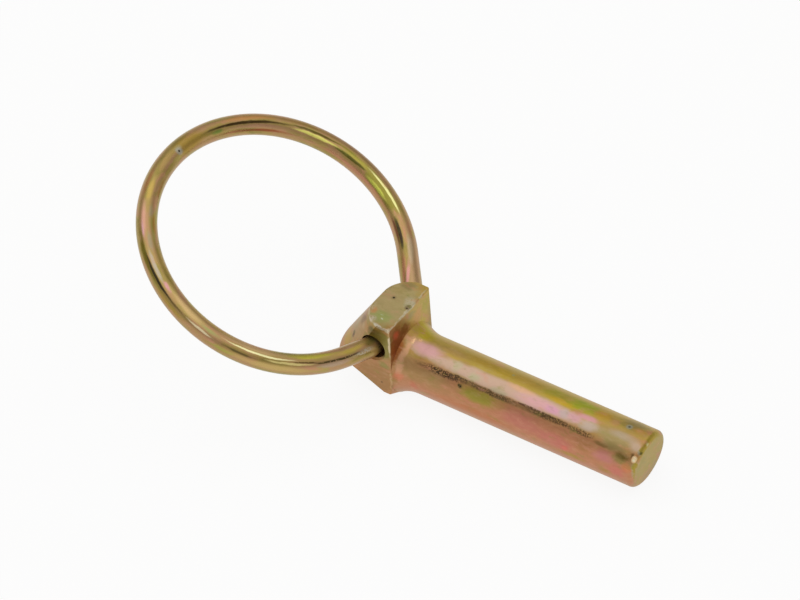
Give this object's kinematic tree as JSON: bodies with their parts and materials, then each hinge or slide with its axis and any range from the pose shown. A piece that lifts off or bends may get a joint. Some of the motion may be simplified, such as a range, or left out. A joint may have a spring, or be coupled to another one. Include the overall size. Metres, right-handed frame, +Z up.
{
  "type": "lynch pin",
  "caption": "Lynch pin: a round shank with a wedge head and a spring wire ring that swings over the shank to keep it in its hole.",
  "frame": {"origin": "on the shank axis where the straight shank begins, 4 mm in front of the head's front face", "axes": "+X along the shank to its tip, +Z up from the shank to the top of the head, Y along the cross hole that holds the ring"},
  "size_m": [0.0995, 0.0523, 0.0353],
  "materials": {
    "passivated_body": "yellow passivated zinc plate, satin, worn pale on the head's edges, with iridescent patches and small pits",
    "passivated_ring": "yellow passivated zinc plate on drawn wire, satin, with pink and pale highlights"
  },
  "bodies": {
    "pin": {"pin_body": "passivated_body"},
    "ring": {"ring": "passivated_ring"}
  },
  "joints": [
    {"name": "ring_swing", "type": "hinge", "parent": "pin", "child": "ring", "pos_m": [-0.0077, 0, 0.00595], "axis": [0, 1, 0], "range_deg": [-190, 151]}
  ]
}
